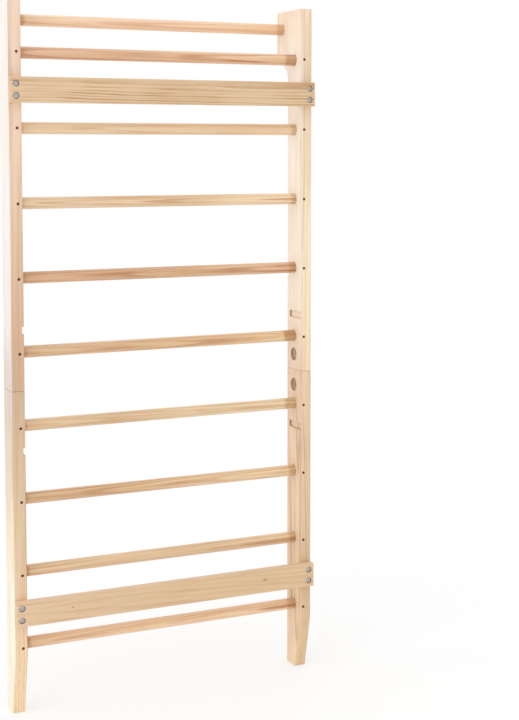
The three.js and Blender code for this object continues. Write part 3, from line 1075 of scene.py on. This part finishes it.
def make_nut(hand, end, material):
    """A hexagon nut, chamfered by keeping what a turned blank shares with it."""
    node = f"joint_nut_{hand}_{end}"
    low, high, middle = box_of(node)
    base = Vector((middle.x, middle.y, low.z))
    height = high.z - low.z
    corner = NUT_ACROSS_FLATS / math.sqrt(3)
    nut = solid(f"{node}_plated", turned("z", base, 1, [(0.0, corner), (height, corner)], 6))
    flat = NUT_ACROSS_FLATS / 2
    slope = math.tan(NUT_CHAMFER_SLOPE)
    drop = (corner - flat + NUT_CHAMFER) * slope
    rim = flat - NUT_CHAMFER - CUT_PAST / slope
    blank = [(-CUT_PAST, rim), (drop, corner), (height - drop, corner), (height + CUT_PAST, rim)]
    shape_with(nut, [turned("z", base, 1, blank, NUT_CHAMFER_SIDES)], "INTERSECT")
    steps = [(height + CUT_PAST, ROD_RADIUS + CLEARANCE)]
    shape_with(nut, [bore("z", base, 1, steps, ROD_HOLE_SIDES)])
    finish_piece(nut, material, node)


def make_washer(hand, end, material):
    """A half-moon washer, round in the access hole and flat under the nut."""
    node = f"joint_washer_{hand}_{end}"
    low, high, middle = box_of(node)
    up = ENDS[end]
    centre_z = JOINT_Z + up * ACCESS_OFFSET
    flat, reach = sorted(abs(z - centre_z) for z in (low.z, high.z))
    half_turn = math.acos(flat / reach)

    def outline(inset):
        points = []
        for step in range(WASHER_STEPS + 1):
            angle = -up * math.pi / 2 - half_turn + 2 * half_turn * step / WASHER_STEPS
            across, rise = polar(reach - inset, angle)
            points.append((MIDDLE_Y + across, centre_z + rise))
        return points

    moon = lofted("x", Vector(), chamfered(low.x, high.x, outline, WASHER_EDGE))
    washer = solid(f"{node}_plated", moon)
    mouth = Vector((middle.x, MIDDLE_Y, centre_z - up * flat))
    steps = [(reach - flat + CUT_PAST, ROD_RADIUS + ROD_CLEARANCE)]
    shape_with(washer, [bore("z", mouth, -up, steps, ROD_HOLE_SIDES)])
    finish_piece(washer, material, node)


def make_dowel(hand, place, material):
    """A fluted dowel with chamfered ends."""
    node = f"joint_dowel_{hand}_{place}"
    low, high, middle = box_of(node)
    radius = (high.x - low.x) / 2
    sides = DOWEL_FLUTES * DOWEL_FLUTE_STEPS

    def outline(shrink):
        points = []
        for corner in range(sides):
            angle = 2 * math.pi * corner / sides
            groove = 0.5 - 0.5 * math.cos(DOWEL_FLUTES * angle)
            points.append(polar(radius - shrink - DOWEL_FLUTE_DEPTH * groove, angle))
        return points

    start = Vector((middle.x, middle.y, low.z))
    sections = chamfered(0.0, high.z - low.z, outline, DOWEL_CHAMFER)
    dowel = solid(f"{node}_fluted", lofted("z", start, sections))
    finish_piece(dowel, material, node, DOWEL_SMOOTH_BELOW)


# ---- the boards' own grain

# The second set of tones, on each upright's +X side, is painted light where the key lamp falls, and
# darkens towards the bolted joint as painted shade
UPRIGHT_GRAIN = {
    ("right", "upper"): Grain(
        3.1, {0: (212, 178, 146), 0.15: (222, 186, 156), 0.35: (232, 200, 170),
            0.6: (245, 216, 190), 0.85: (243, 215, 190), 1: (250, 221, 198)},
        late=(212, 170, 138), pith=(0.02, -0.09), lean=(0.004, 0.006), streak=0.44, pale_from=0.85,
        pale={0: (218, 202, 195), 0.06: (221, 210, 203), 0.15: (242, 239, 236),
            1: (247, 244, 240)}),
    ("right", "lower"): Grain(
        7.9, {0: (253, 226, 188), 0.15: (252, 224, 186), 0.4: (244, 216, 183),
            0.6: (229, 204, 170), 0.85: (223, 197, 165), 1: (216, 187, 156)},
        late=(212, 172, 132), pith=(-0.07, 0.03), lean=(0.02, 0.004), ring=7 * MM, streak=0.56,
        waver=1.2, pale_from=0.85,
        pale={0: (244, 242, 221), 0.4: (243, 241, 219), 0.55: (243, 226, 199),
            0.75: (232, 213, 194), 0.9: (217, 199, 180), 1: (218, 202, 197)}),
    ("left", "upper"): Grain(
        12.4, {0: (251, 229, 190), 0.2: (254, 236, 201), 0.35: (254, 239, 207),
            0.5: (251, 233, 199), 0.65: (245, 221, 190), 0.82: (238, 214, 183),
            1: (253, 228, 198)},
        late=(210, 170, 130), pith=(-0.05, -0.08), lean=(0.003, -0.004), streak=0.46, pale_from=0.2,
        pale={0: (230, 203, 178), 0.1: (244, 222, 200), 0.25: (251, 239, 222),
            0.85: (253, 243, 229), 1: (243, 219, 194)}),
    ("left", "lower"): Grain(
        19.6, {0: (233, 203, 162), 0.3: (224, 194, 152), 0.5: (228, 200, 160),
            0.75: (238, 212, 176), 1: (244, 216, 178)},
        late=(178, 138, 98), pith=(0.09, 0.03), lean=(-0.01, 0.006), streak=0.66, pale_from=0.25,
        pale={0: (246, 217, 181), 0.3: (234, 204, 168), 0.6: (238, 208, 175),
            0.9: (240, 210, 180), 1: (230, 198, 167)}),
}

RAIL_GRAIN = {
    "upper": Grain(
        31.4, {0: (230, 202, 164), 0.5: (230, 200, 162), 1: (236, 206, 170)},
        late=(186, 136, 88), pith=(0.034, -0.03), lean=(0.014, 0.004), ring=5.6 * MM, streak=0.95,
        waver=1.5, wander=4 * MM),
    "lower": Grain(
        9.7, {0: (226, 196, 156), 0.5: (225, 195, 156), 1: (232, 202, 166)},
        late=(206, 164, 122), pith=(-0.06, -0.07), lean=(0.03, 0.02), ring=9 * MM, streak=0.45,
        waver=1.0, wander=6 * MM, knots=((0.288, 0.003, 2.4 * MM), (-0.286, 0.003, 3.2 * MM))),
}

RUNG_GRAIN = {
    1: Grain(
        1.3, {0: (243, 205, 162), 0.3: (251, 216, 182), 0.8: (252, 220, 187),
            1: (250, 219, 187)},
        late=(226, 174, 130), pith=(0.004, -0.05), lean=(0.0, 0.006), ring=4.5 * MM,
        streak=0.5, fleck=0.35, painted_seat_shade=((22, 0.6), (40, 0.9))),
    2: Grain(
        2.7, {0: (239, 203, 164), 0.3: (241, 203, 164), 0.6: (235, 197, 160),
            1: (237, 197, 162)},
        late=(190, 122, 84), pith=(0.0, -0.03), lean=(0.004, 0.008), ring=6 * MM,
        streak=0.9, fleck=0.5, painted_seat_shade=((34, 1.0), (11, 0.8))),
    3: Grain(
        4.4, {0: (240, 210, 169), 0.5: (239, 210, 172), 1: (245, 220, 185)},
        late=(206, 152, 106), pith=(0.002, -0.06), lean=(0.0, 0.005), ring=4 * MM,
        streak=0.75, fleck=0.4, painted_seat_shade=((16, 0.7), (11, 0.7))),
    4: Grain(
        6.1, {0: (251, 227, 192), 0.25: (243, 215, 176), 0.45: (231, 202, 163),
            0.65: (240, 211, 174), 1: (241, 217, 183)},
        late=(200, 148, 102), pith=(0.0, 0.04), lean=(0.003, 0.014), ring=5 * MM,
        streak=0.8, fleck=0.4, painted_seat_shade=((16, 0.7), (11, 0.7))),
    5: Grain(
        8.8, {0: (225, 180, 141), 0.2: (236, 200, 159), 0.6: (220, 179, 138),
            1: (226, 185, 145)},
        late=(172, 106, 66), pith=(0.0, -0.05), lean=(0.004, 0.012), ring=5 * MM,
        streak=0.85, fleck=0.5, painted_seat_shade=((22, 0.7), (11, 0.7))),
    6: Grain(
        10.5, {0: (242, 210, 165), 0.25: (231, 194, 150), 1: (228, 194, 156)},
        late=(188, 132, 84), pith=(0.004, -0.04), lean=(0.006, -0.014), ring=4.5 * MM,
        streak=0.9, fleck=0.4, painted_seat_shade=((36, 1.1), (11, 0.6))),
    7: Grain(
        13.2, {0: (245, 221, 182), 0.4: (238, 215, 177), 0.7: (229, 199, 160),
            1: (236, 206, 167)},
        late=(196, 144, 98), pith=(0.0, -0.05), lean=(0.0, -0.012), ring=4 * MM,
        streak=0.68, fleck=0.4, painted_seat_shade=((34, 0.9), (11, 0.8))),
    8: Grain(
        15.7, {0: (241, 212, 171), 0.4: (237, 206, 164), 0.6: (227, 193, 150),
            1: (230, 196, 153)},
        late=(180, 122, 78), pith=(0.0, -0.05), lean=(0.002, 0.009), ring=4.5 * MM,
        streak=0.85, fleck=0.45, painted_seat_shade=((20, 0.7), (11, 0.7))),
    9: Grain(
        17.3, {0: (236, 209, 170), 0.5: (231, 202, 163), 1: (235, 204, 165)},
        late=(194, 142, 98), pith=(0.003, -0.06), lean=(0.0, 0.007), ring=4 * MM,
        streak=0.82, fleck=0.4, painted_seat_shade=((20, 0.7), (13, 1.0))),
    10: Grain(
        20.9, {0: (247, 215, 178), 0.6: (248, 215, 176), 1: (242, 207, 169)},
        late=(192, 130, 86), pith=(0.0, 0.045), lean=(0.004, 0.012), ring=5 * MM,
        streak=0.82, fleck=0.4, painted_seat_shade=((24, 0.8), (14, 1.0))),
}

DOWEL_GRAIN = Grain(
    23.0, {0: (226, 194, 154), 1: (232, 204, 164)},
    late=(206, 168, 122), pith=(0.02, 0.03), ring=1.5 * MM, streak=0.4)

# ---- everything in its place


def make_uprights():
    for (hand, end), grain in UPRIGHT_GRAIN.items():
        low, high, middle = box_of(f"upright_{hand}_{end}")
        middle.y = MIDDLE_Y
        name = f"pine_upright_{hand}_{end}"
        make_upright(hand, end, sanded_wood(name, "z", middle, high - low, grain))


def make_rails():
    for end, grain in RAIL_GRAIN.items():
        low, high, middle = box_of(f"wall_rail_{end}")
        make_rail(end, sanded_wood(f"pine_rail_{end}", "x", middle, high - low, grain))


def make_rungs():
    size = Vector((2 * INNER_X, 0, 0))
    for number, grain in RUNG_GRAIN.items():
        _, _, middle = box_of(f"rung_{number:02d}")
        name = f"pine_rung_{number:02d}"
        make_rung(number, sanded_wood(name, "x", middle, size, grain, TURNED_SHEEN))


def make_fasteners(zinc, bronzed, beech):
    for hand in SIDES:
        for number in range(1, RUNG_COUNT + 1):
            node = f"rung_screw_{hand}_{number:02d}"
            way = 1 if number == 1 else -1
            make_screw(node, way, flat_head, LOCK_SHANK, LOCK_SOCKET, LOCK_SIDES, bronzed)
        make_rod(hand, zinc)
        for place in PLACES:
            make_dowel(hand, place, beech)
        for end in ENDS:
            make_nut(hand, end, zinc)
            make_washer(hand, end, zinc)
            for index in (1, 2):
                node = f"rail_screw_{end}_{hand}_{index}"
                make_screw(node, -1, domed_head, RAIL_SHANK, RAIL_SOCKET, RAIL_SIDES, zinc)


def make_pieces():
    zinc = plated("zinc", srgb(208, 206, 204), srgb(176, 173, 171), roughness=0.4, grit=0.3)
    brown = (srgb(158, 112, 76), srgb(104, 70, 46))
    bronzed = plated("bronzed_steel", *brown, roughness=0.4, grit=0.35)
    low, high, middle = box_of("joint_dowel_right_front")
    beech = sanded_wood("beech", "z", middle, high - low, DOWEL_GRAIN)
    make_uprights()
    make_rails()
    make_rungs()
    make_fasteners(zinc, bronzed, beech)


# ---- stage, light and camera

FLOOR_SIZE = 40.0
FLOOR_GAP = 0.5 * MM
FLOOR_GLOW = 0.5  # share of the floor that the camera sees as plain white
FLOOR_GREY = srgb(253, 253, 253)
FLOOR_CLOUD_SCALE = 0.8
SURROUND_LIGHT = 0.74

# Where each lamp stands, and what a white surface that faces it gains
LAMPS = {
    "key_lamp": ((0.9, 0.25, 0.3), 0.36),
    "fill_lamp": ((-0.5, -0.7, 0.5), 0.12),
    "top_lamp": ((0.0, 0.35, 1.0), 0.1),
}
LAMP_SOFTNESS = math.radians(80)

CAMERA_PLACE = Vector((1.3557, 3.5975, -0.1509))
CAMERA_HEADING = math.radians(155.7)
CAMERA_TILT = math.radians(-4.0)
CAMERA_LENS = 69.86
CAMERA_SHIFT = -0.1597


def seen_plainly(graph):
    """1 where the camera looks, straight or in metal or glass, and 0 elsewhere."""
    camera = graph.node("LightPath", output="Is Camera Ray")
    seen = camera.math("MAXIMUM", camera, camera.other("Is Glossy Ray"))
    return seen.math("MAXIMUM", seen, camera.other("Is Transmission Ray"))


def make_floor():
    material = bpy.data.materials.new("pale_floor")
    graph = Graph(material)
    place = graph.node("TexCoord", output="Object")
    cloud = graph.noise(place, FLOOR_CLOUD_SCALE)
    seen = seen_plainly(graph)
    board = graph.principled({
        "Base Color": graph.mix(FLOOR_GREY, WHITE, cloud),
        "Roughness": 1.0,
        "Specular IOR Level": 0.0,
    })
    white = graph.node("Emission", inputs={"Color": WHITE, "Strength": 1.0})
    seen_share = {0: seen * FLOOR_GLOW, 1: board, 2: white}
    graph.surface(graph.node("MixShader", inputs=seen_share))
    mesh = bmesh.new()
    bmesh.ops.create_grid(mesh, x_segments=4, y_segments=4, size=FLOOR_SIZE / 2)
    floor = solid("floor", mesh)
    floor.location = (0, 0, FLOOR_Z - FLOOR_GAP)
    floor.data.materials.append(material)


def make_surroundings():
    world = bpy.data.worlds.new("studio")
    bpy.context.scene.world = world
    graph = Graph(world)
    strength = seen_plainly(graph) * (1 - SURROUND_LIGHT) + SURROUND_LIGHT
    background = graph.node("Background", inputs={0: WHITE, "Strength": strength})
    graph.node("OutputWorld", inputs={"Surface": background})


def make_lamp(name, towards, brightness):
    """A far, wide lamp."""
    lamp = bpy.data.lights.new(name, "SUN")
    lamp.energy = brightness * math.pi
    lamp.angle = LAMP_SOFTNESS
    placed(name, lamp).rotation_euler = Vector(towards).to_track_quat("Z", "Y").to_euler()


def make_camera():
    lens = bpy.data.cameras.new("camera")
    lens.lens = CAMERA_LENS
    lens.shift_y = CAMERA_SHIFT
    thing = placed("camera", lens)
    thing.location = CAMERA_PLACE
    thing.rotation_euler = (math.pi / 2 + CAMERA_TILT, 0, CAMERA_HEADING)
    bpy.context.scene.camera = thing


make_camera()
make_pieces()
make_floor()
make_surroundings()
for lamp_name, (towards, brightness) in LAMPS.items():
    make_lamp(lamp_name, towards, brightness)
bpy.context.scene.view_settings.view_transform = "Standard"
